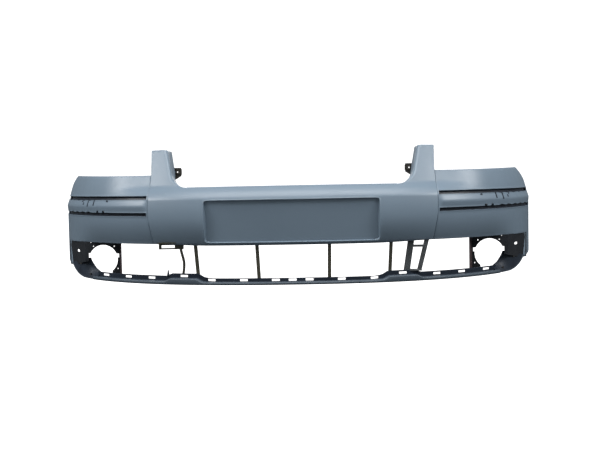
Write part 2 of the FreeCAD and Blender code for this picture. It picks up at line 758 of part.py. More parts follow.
def wheel_arch_nuts(sign, flange):
    nuts = []
    for z in ARCH_NUT_HEIGHTS:
        place = arch_hole(sign, z)
        nut = box((place.x - 5.5, place.x + 5.5), (place.y - 8.0, place.y + 1.0), (z - 6.0, z + 6.0))
        nut = nut.cut(hole_y(place.x, z, ARCH_HOLE - 1.2))
        nuts.append(largest(nut.cut(flange)))
    return Part.makeCompound(nuts)


def fender_guide(sign, cover, flange):
    """A rail inside the slanted rear edge of the wing, with a tab that stands out behind it."""
    start, stop = GUIDE_DEPTHS
    fall = (WING_TOP_OUTER - ARCH_TOP_HEIGHT) / (ARCH_TOP_DEPTH - WING_CORNER_DEPTH)
    sections = []
    for i in range(13):
        depth = start + (stop - start) * i / 12.0
        x = sign * x_at_depth(depth)
        z = WING_TOP_OUTER - (depth + 25.0 - WING_CORNER_DEPTH) * fall - 16.0
        section = [(WALL - 0.4, 0.0), (WALL + 14.0, 0.0), (WALL + 14.0, 9.0), (WALL - 0.4, 9.0)]
        sections.append([wing_point(x, z + up, inset) for inset, up in section])
    guide = swept(sections)
    root = wing_point(sign * x_at_depth(545.0), 240.0, WALL)
    tab_x = (root.x - sign * 1.0, root.x - sign * 11.0)
    tab = box(tab_x, (at(0, 538.0, 0).y, at(0, TOTAL_DEPTH, 0).y), GUIDE_TAB)
    return largest(guide.fuse(tab).cut([cover, flange]))


def valance_pin(sign, place):
    """One push pin through the bevel, whose head stands clear of the slope, and its shank alone."""
    x, z = place
    start = V(sign * x, bevel_depth(x, z) - PIN_STANDOFF, z)
    head = Part.makeCylinder(PIN_HEAD / 2.0, 2.0, start, V(0, 1, 0))
    shank = Part.makeCylinder(PIN_SHANK / 2.0, 20.0, start, V(0, 1, 0))
    return head.fuse(shank).removeSplitter(), shank


def bevel_depth(x, z):
    """Where a line straight back meets the bevel."""
    bevel = corner_bevel()
    line = Part.makeLine(V(x, -1000.0, z), V(x, 1000.0, z))
    hits = bevel.common(line)
    return min(vertex.Y for vertex in hits.Vertexes)


def main():
    os.makedirs("parts", exist_ok=True)
    cover = upper_cover()
    cover = cover.cut(trim_clip_stems(-1) + trim_clip_stems(1))
    valance = largest(lower_valance().cut(cover))
    pins = []
    for sign in (-1, 1):
        for place in VALANCE_PINS:
            pin, shank = valance_pin(sign, place)
            valance = valance.cut(shank)
            pins.append(pin)
    valance = largest(valance)
    save("valance_pins", Part.makeCompound(pins))
    save("upper_cover", cover)
    save("lower_valance", valance)
    save("grille_ledge", grille_ledge(cover))
    save("tow_eye_frame", tow_eye_frame(cover, valance))
    clip_frame = grille_clip_frame(cover, valance)
    save("grille_clip_frame", clip_frame)
    save("valance_strap", valance_strap(valance, clip_frame))
    for number, (foot_x, head_x) in enumerate(STRUTS, 1):
        save(f"intake_strut_{number}", intake_strut(foot_x, head_x, cover, valance))
    for side, sign in (("left", -1), ("right", 1)):
        carrier = fog_lamp_carrier(sign, cover, valance)
        save(f"fog_lamp_carrier_{side}", carrier)
        save(f"fog_lamp_nuts_{side}", fog_lamp_nuts(sign, carrier))
        bracket = horn_bracket(sign, cover)
        save(f"horn_bracket_{side}", bracket)
        save(f"horn_clip_nut_{side}", horn_clip_nut(sign, bracket))
        channels = {"upper": trim_channel(sign, UPPER_SLOT), "lower": trim_channel(sign, LOWER_SLOT)}
        for level, channel in channels.items():
            save(f"trim_channel_{level}_{side}", channel.cut(trim_clip_stems(sign)))
        save(f"trim_clips_{side}", trim_clips(sign, cover))
        save(f"headlamp_ledge_{side}", headlamp_ledge(sign, cover))
        flange = wheel_arch_flange(sign, cover)
        save(f"wheel_arch_flange_{side}", flange)
        save(f"wheel_arch_nuts_{side}", wheel_arch_nuts(sign, flange))
        save(f"fender_guide_{side}", fender_guide(sign, cover, flange))


main()
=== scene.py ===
import json
import math

import bmesh
import bpy
import numpy as np
from mathutils import Matrix, Vector


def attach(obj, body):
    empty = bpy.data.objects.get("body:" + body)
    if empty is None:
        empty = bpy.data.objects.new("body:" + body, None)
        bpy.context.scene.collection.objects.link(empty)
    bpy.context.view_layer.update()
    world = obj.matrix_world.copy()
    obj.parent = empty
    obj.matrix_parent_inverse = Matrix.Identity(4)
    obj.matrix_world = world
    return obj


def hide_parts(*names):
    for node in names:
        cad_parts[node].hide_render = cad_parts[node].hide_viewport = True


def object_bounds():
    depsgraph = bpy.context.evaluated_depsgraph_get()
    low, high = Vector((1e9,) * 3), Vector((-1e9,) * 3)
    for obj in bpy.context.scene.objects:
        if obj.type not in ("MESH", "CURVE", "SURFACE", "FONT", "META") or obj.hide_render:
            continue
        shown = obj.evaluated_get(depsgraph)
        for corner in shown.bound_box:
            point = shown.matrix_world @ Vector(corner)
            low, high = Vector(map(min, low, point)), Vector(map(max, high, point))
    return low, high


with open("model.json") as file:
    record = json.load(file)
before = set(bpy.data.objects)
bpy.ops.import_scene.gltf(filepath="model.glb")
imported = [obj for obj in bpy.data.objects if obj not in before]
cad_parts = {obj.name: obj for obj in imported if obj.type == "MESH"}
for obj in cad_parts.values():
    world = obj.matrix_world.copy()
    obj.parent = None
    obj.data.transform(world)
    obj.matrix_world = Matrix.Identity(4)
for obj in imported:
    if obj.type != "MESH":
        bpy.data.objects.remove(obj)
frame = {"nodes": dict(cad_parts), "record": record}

CAD_BOUNDS = [list(corner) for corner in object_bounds()]

# A bare front bumper cover in grey-blue primer, in the CAD frame: +X across, -Y forwards, +Z up.
# Lengths below are in millimetres and are scaled by MM where a mesh is made.
# A depth is a Y before Y_SHIFT is added. An inset is measured inwards from the outer face.
MM = 0.001

# thickness of the skin, and radius of its rolled edges
WALL = 2.8
ROLL = 2.4

# plan curve and profile of the outer face, as in the CAD model
PLAN_HALF_WIDTH = 880.0
PLAN_DEPTH = 620.0
PLAN_POWER = 2.4
PLAN_ROUNDING = 0.55
FOREMOST_DEPTH = 5.0
REAR_DEPTH = 566.0
Y_SHIFT = -(FOREMOST_DEPTH + REAR_DEPTH) / 2.0

# how far the face falls back, above and below the height where it is foremost
BULGE_HEIGHT = 205.0
UNDERCUT = 22.0
UNDERCUT_REACH = 80.0
BEAM_CROWN = 0.0018
BEAM_CROWN_FADE = (262.0, 300.0)
BEAM_ROLL = 34.0
BEAM_ROLL_SPAN = (262.0, 310.0)
BEAM_LEAN = 0.44
BEAM_LEAN_START = 285.0
WING_CROWN = 0.0014
WING_TUCK_FADE = (640.0, 800.0)
BEAM_TO_WING = (440.0, 640.0)

BODY_BOTTOM = 125.0
# the centre's lower edge turns under: drop, inset, and the X up to which it is whole and where it is gone
UNDERTURN = (6.0, 3.5, 250.0, 480.0)
EDGE_FLANGE = 9.0
BEAM_TOP = 302.0
HORN_TOP = 425.0
HORN_INNER = (373.0, 403.0)
HORN_OUTER = 457.0
HORN_FILLET = 62.0
HORN_ROLL = 9.0
PANEL_LINE = 451.0
PANEL_FOOT = 436.0
PANEL_BEND = 215.0
WING_STEP = 2.0
FLANGE_DEPTH = 60.0
FLANGE_START_DEPTH = 16.0
GROOVE_ROLL = 1.2
GROOVE_DEPTH = 5.0
# the wing's edge beside the panel line, as shift in X and inset
GROOVE = ((-5.0, 5.0), (0.6, 5.0), (1.5, 2.8), (2.5, 0.6), (3.8, 0.0))

# plate recess: half width, lower edge, upper edge, corner radius
RECESS = (267.0, 131.0, 257.0, 9.0)
RECESS_DEPTH = 5.5
RECESS_FLATNESS = 1.0
RECESS_WALL = (-1.0, 0.8)
# rim of the recess: height, distance from the edge, width
RECESS_BEAD = (0.8, 2.6, 1.3)

# heights by depth
WING_TOP = ((0.0, 342.0), (150.0, 343.0), (398.0, 357.0), (556.0, 278.0))
ARCH_DEPTH = 556.0
TAIL_FRONT = (366.0, 384.0)
TAIL_BOTTOM = ((366.0, 45.0), (388.0, 43.0), (415.0, 49.0), (480.0, 55.0), (540.0, 58.0), (556.0, 64.0))
SLOT_START = 456.0
SLOT_END = 865.0
# each slot: middle height at its inner end and at its outer end, and how tall it is
UPPER_SLOT = (271.0, 281.0, 12.0)
LOWER_SLOT = (218.0, 227.0, 11.5)
SLOT_BEAD = 0.9
SLOT_RIM = 3.0
BAND_RIDGE = 4.6
NOTCHES = (622.0, 648.0)
NOTCH_RISE = 7.0
NOTCH_HALF_WIDTH = 5.4
# rows of faces up a wing: body, rim, lower slot, rim, band in two parts, rim, upper slot, rim, top
WING_ROWS = (13, 2, 4, 2, 5, 5, 2, 4, 2, 10)
LOWER_SLOT_PART = 2
UPPER_SLOT_PART = 7
COLUMN_STEP = 7.0
# slits in the band: place, first row of faces and the row after the last
TONGUE_SLITS = ((666.0, 26, 33), (694.0, 25, 33), (717.0, 27, 30))
SLIT_HALF_WIDTH = 2.8
SLIT_DEPTH = 2.5
# waves on the slots' edges: where they start, where they are whole and where they begin to fade
FRAY_SPAN = (655.0, 690.0, 846.0)
FRAY_DEPTH = 1.4
FRAY_LENGTH = 31.0
TAIL_ROWS = 13

# lower rail, by height in the centre, on the raised stretches and at the sides
LIP_SETBACK = 10.0
LIP_HEIGHT = (9.0, 20.0, 11.0)
SLOT_FOOT = (10.5, 22.5, 15.0)
RAIL_HEIGHT = (19.5, 34.0, 26.0)
RAIL_RAISED = (290.0, 397.0)
RAIL_WALL_INSET = 20.0
RAIL_FLOOR_DEPTH = 46.0
RAIL_END = 690.0
RAIL_SLOT_HEIGHT = 6.5
# slots in the rail: place in X, and width
RAIL_SLOTS = (
    (0.0, 24.0), (52.0, 24.0), (152.0, 24.0), (255.0, 24.0),
    (347.0, 26.0), (462.0, 27.0), (552.0, 29.0), (649.0, 34.0),
)
RAIL_WALL = 2.0
# place and top of the hook
RAIL_HOOK = (-392.0, 45.0)
# bevel round a lower corner, as X, depth and Z
BEVEL_RIM = ((668, 219, 2.3), (696, 242, 2.6), (727, 271, 5), (759, 308, 15), (783, 340, 30), (802, 368, 48))
BEVEL_ROOT = ((660, 258, 22), (668, 258, 29), (677, 259, 37), (685, 260, 47), (694, 262, 60), (700, 266, 72))


# the outer face

def smooth(value, low, high):
    """A share that grows softly from 0 at low to 1 at high."""
    share = np.clip((np.asarray(value, float) - low) / (high - low), 0.0, 1.0)
    return share * share * (3.0 - 2.0 * share)


def plan_depth(x):
    """The depth of the outer face seen from above."""
    share = np.minimum(1.0, (np.abs(x) / PLAN_HALF_WIDTH) ** PLAN_POWER)
    return PLAN_DEPTH * (1.0 - (1.0 - share) ** PLAN_ROUNDING)


def x_at_depth(depth):
    """The X at which the plan curve reaches a depth."""
    share = 1.0 - (1.0 - depth / PLAN_DEPTH) ** (1.0 / PLAN_ROUNDING)
    return PLAN_HALF_WIDTH * share ** (1.0 / PLAN_POWER)


def plan_normal(x):
    """The direction into the cover, square to the plan curve, as its X and Y."""
    ahead = np.minimum(x + 0.25, PLAN_HALF_WIDTH)
    behind = np.maximum(x - 0.25, -PLAN_HALF_WIDTH)
    run = ahead - behind
    rise = plan_depth(ahead) - plan_depth(behind)
    size = np.hypot(run, rise)
    return -rise / size, run / size


def beam_setback(z):
    """How far the beam's face falls back at a height."""
    below = np.maximum(0.0, BULGE_HEIGHT - z)
    above = np.maximum(0.0, z - BULGE_HEIGHT)
    rolled = BEAM_ROLL * smooth(z, *BEAM_ROLL_SPAN)
    lean = np.maximum(0.0, z - BEAM_LEAN_START) * BEAM_LEAN
    crown = BEAM_CROWN * above ** 2 * (1.0 - smooth(z, *BEAM_CROWN_FADE))
    return UNDERCUT * (below / UNDERCUT_REACH) ** 2 + crown + rolled + lean


def wing_setback(x, z):
    """How far a wing's face falls back at a height; its lower part stands upright towards the tail."""
    below = np.maximum(0.0, BULGE_HEIGHT - z)
    above = np.maximum(0.0, z - BULGE_HEIGHT)
    tuck = 1.0 - smooth(np.abs(x), *WING_TUCK_FADE)
    return UNDERCUT * (below / UNDERCUT_REACH) ** 2 * tuck + WING_CROWN * above ** 2


def cover_point(x, z, inset=0.0):
    """Points on the outer face, or inset behind it, as an array with X, Y and Z last."""
    x, z, inset = np.broadcast_arrays(np.asarray(x, float), np.asarray(z, float), np.asarray(inset, float))
    nx, ny = plan_normal(x)
    share = smooth(np.abs(x), *BEAM_TO_WING)
    lean = beam_setback(z) * (1.0 - share) + wing_setback(x, z) * share
    across = nx * (inset + lean * share)
    back = ny * (inset + lean * share) + lean * (1.0 - share)
    return np.stack([x + across, plan_depth(x) + back + Y_SHIFT, z], axis=-1)


# meshes from grids of points

class Sheet:
    """Collects grids of points in millimetres, and becomes one mesh."""

    def __init__(self):
        self.points = []
        self.faces = []
        self.looks = []

    def grid(self, points, outward, keep=None, look=0):
        """Adds rows of points. Keep leaves faces out. Look is a material number for all, a row or a face."""
        rows, columns = points.shape[:2]
        first = len(self.points)
        flat = points.reshape(-1, 3)
        self.points.extend(flat.tolist())
        row = rows // 2
        column = columns // 2
        up = points[min(row + 1, rows - 1), column] - points[max(row - 1, 0), column]
        along = points[row, min(column + 1, columns - 1)] - points[row, max(column - 1, 0)]
        turned = float(np.dot(np.cross(up, along), outward)) < 0.0
        look = np.asarray(look)
        if look.ndim == 1:
            look = look[:, None]
        look = np.broadcast_to(look, (rows - 1, columns - 1))
        for i in range(rows - 1):
            for j in range(columns - 1):
                if keep is not None and not keep[i, j]:
                    continue
                k = first + i * columns + j
                face = (k, k + columns, k + columns + 1, k + 1)
                self.faces.append(face[::-1] if turned else face)
                self.looks.append(int(look[i, j]))

    def mesh(self, name, merge=0.03):
        mesh = bpy.data.meshes.new(name)
        scaled = [(x * MM, y * MM, z * MM) for x, y, z in self.points]
        mesh.from_pydata(scaled, [], self.faces)
        mesh.polygons.foreach_set("material_index", self.looks)
        work = bmesh.new()
        work.from_mesh(mesh)
        bmesh.ops.remove_doubles(work, verts=work.verts, dist=merge * MM)
        bmesh.ops.dissolve_degenerate(work, edges=work.edges, dist=0.01 * MM)
        work.to_mesh(mesh)
        work.free()
        mesh.validate()
        return mesh


def add_object(name, mesh, *materials):
    piece = bpy.data.objects.new(name, mesh)
    bpy.context.scene.collection.objects.link(piece)
    for material in materials:
        mesh.materials.append(material)
    mesh.shade_smooth()
    return piece


def thicken(piece, wall, bevel=0.35):
    solid = piece.modifiers.new("wall", "SOLIDIFY")
    solid.thickness = wall * MM
    solid.offset = -1.0
    solid.use_even_offset = True
    solid.use_rim = True
    edge = piece.modifiers.new("edge", "BEVEL")
    edge.width = bevel * MM
    edge.segments = 2
    edge.limit_method = "ANGLE"
    edge.angle_limit = math.radians(50.0)
    edge.harden_normals = False


def unit(vectors):
    return vectors / np.maximum(np.linalg.norm(vectors, axis=-1, keepdims=True), 1e-9)


def rolled_edge(line, across, inward, flange, direction=(0.0, 1.0, 0.0), radius=ROLL, steps=4):
    """Rows that roll over from a boundary line and run back as a flange. across leads out of the sheet."""
    across = unit(across)
    inward = unit(inward)
    rows = []
    radius = np.broadcast_to(np.asarray(radius, float), line.shape[:1])[:, None]
    for k in range(steps + 1):
        angle = math.pi / 2.0 * k / steps
        rows.append(line + across * radius * math.sin(angle) + inward * radius * (1.0 - math.cos(angle)))
    reach = np.broadcast_to(np.asarray(flange, float), line.shape[:1])[:, None]
    for share in (0.33, 0.66, 1.0):
        rows.append(rows[steps] + np.asarray(direction, float) * reach * share)
    return np.stack(rows)


def refined(low, high, step, edges, reach=4.5, fine=0.45):
    """Even places from low to high, with close ones around each edge."""
    count = max(2, int(round((high - low) / step)) + 1)
    places = list(np.linspace(low, high, count))
    for edge in edges:
        places = [p for p in places if abs(p - edge) > reach + step * 0.3 or p in (low, high)]
        places += list(np.arange(edge - reach, edge + reach + 0.01, fine))
    return np.array(sorted(set(round(float(p), 4) for p in places if low <= p <= high)))


# upper cover

def recess_inset(x, z):
    """The plate recess: a sunk rounded rectangle with a soft rim."""
    half, low, high, corner = RECESS
    dx = np.abs(x) - (half - corner)
    dz = np.abs(z - (low + high) / 2.0) - ((high - low) / 2.0 - corner)
    outside = np.hypot(np.maximum(dx, 0.0), np.maximum(dz, 0.0))
    outside = outside + np.minimum(np.maximum(dx, dz), 0.0) - corner
    share = np.clip((high - z) / (high - low), 0.0, 1.0)
    chord = beam_setback(high) + (beam_setback(low) - beam_setback(high)) * share
    deep = RECESS_DEPTH + RECESS_FLATNESS * np.maximum(chord - beam_setback(z), 0.0)
    height, away, width = RECESS_BEAD
    bead = height * np.exp(-((outside - away) / width) ** 2)
    return deep * (1.0 - smooth(outside, *RECESS_WALL)) - bead


def horn_corner():
    """The fillet between the beam's top and the leaning inner edge of a horn: its centre and its turn."""
    lean = math.atan((HORN_INNER[1] - HORN_INNER[0]) / (HORN_TOP - BEAM_TOP))
    back = HORN_FILLET * (1.0 - math.sin(lean)) / math.cos(lean)
    return HORN_INNER[0] - back, BEAM_TOP + HORN_FILLET, lean


def horn_edge(count_arc=17, count_line=12):
    """The line inside a horn's inner edge where the roll starts: X, Z and the roll's radius."""
    x, z, lean = horn_corner()
    angles = np.linspace(0.0, math.pi / 2.0 - lean, count_arc)
    roll = ROLL + (HORN_ROLL - ROLL) * smooth(angles, 0.0, math.pi / 2.0 - lean)
    arc_x = x + (HORN_FILLET + roll) * np.sin(angles)
    arc_z = z - (HORN_FILLET + roll) * np.cos(angles)
    line_z = np.linspace(arc_z[-1], HORN_TOP - ROLL, count_line)[1:]
    line_x = arc_x[-1] + (line_z - arc_z[-1]) * math.tan(lean)
    rolls = np.concatenate([roll, np.full(len(line_z), HORN_ROLL)])
    return np.concatenate([arc_x, line_x]), np.concatenate([arc_z, line_z]), rolls


def panel_edge(z):
    """The outer edge of the centre part: slanted below, upright beside the wing, leaning out on the horn."""
    return np.interp(z, [BODY_BOTTOM, PANEL_BEND, WING_TOP[0][1], HORN_TOP],
                     [PANEL_FOOT, PANEL_LINE, PANEL_LINE, HORN_OUTER])


def centre_sheet(sheet):
    """The beam with its recess and rolled edges, and on each side the groove and the horn."""
    start = horn_corner()[0]
    middle = refined(0.0, start, 8.0, [RECESS[0]])
    side_steps = np.linspace(0.0, 1.0, 21)
    low = BODY_BOTTOM + ROLL
    high = BEAM_TOP - ROLL
    zs = refined(low, high, 6.0, [RECESS[1], RECESS[2]])
    X = np.stack([mirrored_row(middle, start, panel_edge(z) - GROOVE_ROLL, side_steps) for z in zs])
    Z = np.repeat(zs[:, None], X.shape[1], axis=1)
    inset = recess_inset(X, Z)
    drop, lean, whole, gone = UNDERTURN
    share = 1.0 - smooth(np.abs(X[0]), whole, gone)
    Z[0] -= drop * share
    inset[0] += lean * share
    points = cover_point(X, Z, inset)
    points[..., 1] = np.maximum(points[..., 1], FOREMOST_DEPTH + Y_SHIFT)
    sheet.grid(points, (0, -1, 0))
    xs = X[0]
    bottom = points[0]
    down = bottom - points[1]
    sheet.grid(rolled_edge(bottom, down, inward_of(xs), EDGE_FLANGE), (0, 0, -1))
    beam = X[-1][np.abs(X[-1]) <= start + 0.001]
    top = cover_point(beam, high)
    up = top - cover_point(beam, high - 1.0)
    deep = 10.0 + 6.0 * smooth(np.abs(beam), 250.0, start)
    sheet.grid(rolled_edge(top, up, inward_of(beam), deep), (0, 0, 1))
    for sign, column, inner in ((-1.0, 0, 1), (1.0, -1, -2)):
        groove_side(sheet, points[:, column], points[:, inner], sign, GROOVE_DEPTH)
        horn(sheet, sign, side_steps)


def mirrored_row(middle, start, edge, steps):
    """Places in X from the left edge to the right one: even steps outside, the given ones in the middle."""
    right = np.concatenate([middle, start + (edge - start) * steps[1:]])
    return np.concatenate([-right[:0:-1], right])


def square_to(edge, inner):
    """Directions out of a sheet and into the cover, square to an upright edge with inner beside it."""
    out = edge - inner
    rise = np.gradient(edge, axis=0)
    out = out - unit(rise) * np.sum(out * unit(rise), axis=1, keepdims=True)
    inward = np.cross(unit(out), unit(rise))
    inward *= np.sign(inward[:, 1:2])
    return out, inward


def groove_side(sheet, edge, inner, sign, deep):
    """Rolls a side edge of the centre back, beside the groove of the panel line."""
    out, inward = square_to(edge, inner)
    sheet.grid(rolled_edge(edge, out, inward, deep, radius=GROOVE_ROLL), (sign, 0, 0))


def inward_of(x):
    """The direction into the cover as rows of X, Y and Z."""
    nx, ny = plan_normal(np.asarray(x, float))
    return np.stack([nx, ny, np.zeros_like(ny)], axis=-1)


def horn(sheet, sign, steps):
    """One horn with its return flange, the groove beside the wing, and its top edge."""
    inner, zs, rolls = horn_edge()
    edge_x = panel_edge(zs) - GROOVE_ROLL
    X = inner[:, None] + (edge_x - inner)[:, None] * steps[None, :]
    Z = np.repeat(zs[:, None], len(steps), axis=1)
    points = cover_point(sign * X, Z)
    sheet.grid(points, (0, -1, 0))
    edge = points[:, 0]
    out, inward = square_to(edge, points[:, 1])
    share = smooth(zs, BEAM_TOP + 6.0, BEAM_TOP + 48.0)
    deep = FLANGE_START_DEPTH + (FLANGE_DEPTH - FLANGE_START_DEPTH) * share
    sheet.grid(rolled_edge(edge, out, inward, deep, radius=rolls), (-sign, 0, 0.2))
    beside_wing = zs <= WING_TOP[0][1] + 8.0
    groove_side(sheet, points[beside_wing, -1], points[beside_wing, -2], sign, GROOVE_DEPTH)
    free = zs >= WING_TOP[0][1]
    groove_side(sheet, points[free, -1], points[free, -2], sign, FLANGE_DEPTH * 0.6)
    edge = points[-1]
    up = edge - points[-2]
    sheet.grid(rolled_edge(edge, up, inward_of(sign * X[-1]), 14.0), (0, 0, 1))


def polyline(places, table):
    """Values between the points of a table of (place, value)."""
    xs = [row[0] for row in table]
    ys = [row[1] for row in table]
    return np.interp(places, xs, ys)


def wing_point(x, z, inset=0.0):
    """Points on a wing, which lies a small step behind the centre's face."""
    return cover_point(x, z, np.asarray(inset) + WING_STEP)


def wing_top(x):
    """The height of a wing's top edge, found by steps because it is given by depth."""
    z = np.full_like(x, 340.0)
    for _ in range(6):
        depth = wing_point(x, z)[..., 1] - Y_SHIFT
        z = polyline(depth, WING_TOP)
    return z - ROLL


def slot_edge(slot, level, x):
    """A height in a slot: level 0 is its lower edge and level 1 its upper one."""
    inner, outer, tall = slot
    share = (plan_depth(x) - plan_depth(SLOT_START)) / (plan_depth(SLOT_END) - plan_depth(SLOT_START))
    return inner + (outer - inner) * share + tall * (level - 0.5)


def along_plan(start, stop, step):
    """Places along X from start to stop, evenly spaced along the plan curve."""
    fine = np.linspace(start, stop, 2000)
    length = np.concatenate([[0.0], np.cumsum(np.hypot(np.diff(fine), np.diff(plan_depth(fine))))])
    count = max(2, int(round(length[-1] / step)) + 1)
    return np.interp(np.linspace(0.0, length[-1], count), length, fine)


def band_ridge(x, z):
    """The crease along the middle of the band between the two slots."""
    low = slot_edge(LOWER_SLOT, 1, x)
    high = slot_edge(UPPER_SLOT, 0, x)
    share = np.clip((z - low) / (high - low), 0.0, 1.0)
    ridge = 1.0 - np.sqrt((2.0 * share - 1.0) ** 2 + 0.01)
    ends = smooth(x, SLOT_START - 3.0, SLOT_START + 12.0) * (1.0 - smooth(x, SLOT_END - 12.0, SLOT_END + 3.0))
    return -BAND_RIDGE * np.maximum(ridge, 0.0) * ends


def slot_bead(x, z):
    """The raised rim that runs along both sides of a slot."""
    bead = 0.0
    for slot in (LOWER_SLOT, UPPER_SLOT):
        middle = slot_edge(slot, 0.5, x)
        away = np.abs(z - middle) - slot[2] / 2.0
        bead = np.maximum(bead, 1.0 - np.clip(away / SLOT_RIM, 0.0, 1.0))
    ends = smooth(x, SLOT_START - 6.0, SLOT_START) * (1.0 - smooth(x, SLOT_END, SLOT_END + 6.0))
    return -SLOT_BEAD * bead * ends


def notch_rise(x):
    """How far the two round notches lift the upper edge of the lower slot."""
    rise = 0.0
    for place in NOTCHES:
        rise = rise + NOTCH_RISE * np.sqrt(np.clip(1.0 - ((x - place) / NOTCH_HALF_WIDTH) ** 2, 0.0, 1.0))
    return rise


def frayed(x):
    """How far the slots' edges are frayed towards the band between them, in even waves."""
    start, full, end = FRAY_SPAN
    ends = smooth(x, start, full) * (1.0 - smooth(x, end, SLOT_END))
    return FRAY_DEPTH * ends * (1.0 + np.sin(2.0 * math.pi * x / FRAY_LENGTH))


def wing_columns():
    """Places along a wing, close at the notches and slits, and the X of the tail's front and of the end."""
    end = x_at_depth(ARCH_DEPTH) - 0.2
    front = x_at_depth(TAIL_FRONT[1])
    fine = []
    for place in NOTCHES:
        fine.append((place - 5.6, place + 5.6, 1.4))
    for place, _, _ in TONGUE_SLITS:
        fine.append((place - SLIT_HALF_WIDTH, place + SLIT_HALF_WIDTH, SLIT_HALF_WIDTH))
    spans = []
    at_x = SLOT_START
    for low, high, step in sorted(fine):
        spans.append((at_x, low, COLUMN_STEP))
        spans.append((low, high, step))
        at_x = high
    spans += [(at_x, front, COLUMN_STEP), (front, SLOT_END, COLUMN_STEP), (SLOT_END, end, 4.0)]
    pieces = [along_plan(a, b, step)[:-1] for a, b, step in spans]
    return np.concatenate(pieces + [[end]]), front, end


def wing_heights(xs, low, top):
    """The heights of a wing's rows, which follow the slots and are squeezed under a low top edge."""
    lower_foot = slot_edge(LOWER_SLOT, 0, xs)
    lower_head = slot_edge(LOWER_SLOT, 1, xs) + frayed(xs)
    upper_foot = slot_edge(UPPER_SLOT, 0, xs) - frayed(xs)
    upper_head = slot_edge(UPPER_SLOT, 1, xs)
    marks = [
        np.full_like(xs, low), lower_foot - SLOT_RIM, lower_foot, lower_head + notch_rise(xs),
        lower_head + SLOT_RIM + notch_rise(xs), (lower_head + upper_foot) / 2.0 + 2.0,
        upper_foot - SLOT_RIM, upper_foot, upper_head, upper_head + SLOT_RIM,
    ]
    ceiling = marks[-1]
    squeeze = np.minimum(1.0, (top - 4.0 - low) / (ceiling - low))
    rows = []
    for lower, upper, count in zip(marks, marks[1:], WING_ROWS):
        for k in range(count):
            rows.append(low + (lower + (upper - lower) * k / count - low) * squeeze)
    base = low + (ceiling - low) * squeeze
    for k in range(WING_ROWS[-1]):
        rows.append(base + (top - base) * k / WING_ROWS[-1])
    rows.append(top)
    return np.stack(rows)


def with_groove(X, Z, inset):
    """Adds the columns that dip into the groove beside the panel line."""
    edge = panel_edge(Z[:, :1])
    lead = np.concatenate([edge + shift for shift, _ in GROOVE], axis=1)
    lead_inset = np.repeat(np.array([[deep for _, deep in GROOVE]]), len(Z), axis=0)
    lead_heights = np.repeat(Z[:, :1], len(GROOVE), axis=1)
    X = np.concatenate([lead, X], axis=1)
    Z = np.concatenate([lead_heights, Z], axis=1)
    return X, Z, np.concatenate([lead_inset, inset], axis=1)


def rows_of(part):
    """The rows of faces that one part of a wing has."""
    first = sum(WING_ROWS[:part])
    return slice(first, first + WING_ROWS[part])


def open_slots(columns, shape):
    """Which faces of a wing are kept: all but those in the two slots."""
    keep = np.ones(shape, bool)
    inside = (columns[:-1] >= SLOT_START - 0.01) & (columns[1:] <= SLOT_END + 0.01)
    keep[rows_of(LOWER_SLOT_PART), inside] = False
    keep[rows_of(UPPER_SLOT_PART), inside] = False
    return keep


def cut_slits(columns, shape, inset):
    """Sinks the slits into the band, and returns which faces get painted shade to look like dark slits."""
    looks = np.zeros(shape, int)
    for place, first_row, end_row in TONGUE_SLITS:
        near = np.abs(columns - place) < SLIT_HALF_WIDTH + 0.1
        looks[first_row:end_row, near[:-1] & near[1:]] = 1
        inset[first_row + 1:end_row, np.abs(columns - place) < 0.1] += SLIT_DEPTH
    return looks


def wing_sheet(sheet, sign):
    """One wing with its groove, slots, band and rolled edges, and the tail below it."""
    xs, front, end = wing_columns()
    low = BODY_BOTTOM + ROLL
    Z = wing_heights(xs, low, wing_top(xs))
    X = np.repeat(xs[None, :], len(Z), axis=0)
    X, Z, inset = with_groove(X, Z, band_ridge(X, Z) + slot_bead(X, Z))
    shape = (Z.shape[0] - 1, Z.shape[1] - 1)
    keep = open_slots(X[0], shape)
    looks = cut_slits(X[0], shape, inset)
    points = wing_point(sign * X, Z, inset)
    sheet.grid(points, (sign * 0.5, -0.8, 0), keep, looks)
    xs = X[-1]
    top_line = points[-1]
    up = top_line - points[-2]
    sheet.grid(rolled_edge(top_line, up, inward_of(sign * xs), 12.0, direction=(0, 0.3, 0)), (0, 0, 1))
    body = X[0] <= front + 0.01
    bottom = points[0][body]
    down = np.broadcast_to((0.0, 0.0, -1.0), bottom.shape)
    sheet.grid(rolled_edge(bottom, down, inward_of(sign * X[0][body]), EDGE_FLANGE), (0, 0, -1))
    tail_sheet(sheet, sign, xs[xs >= front - 0.01], low, end, points)


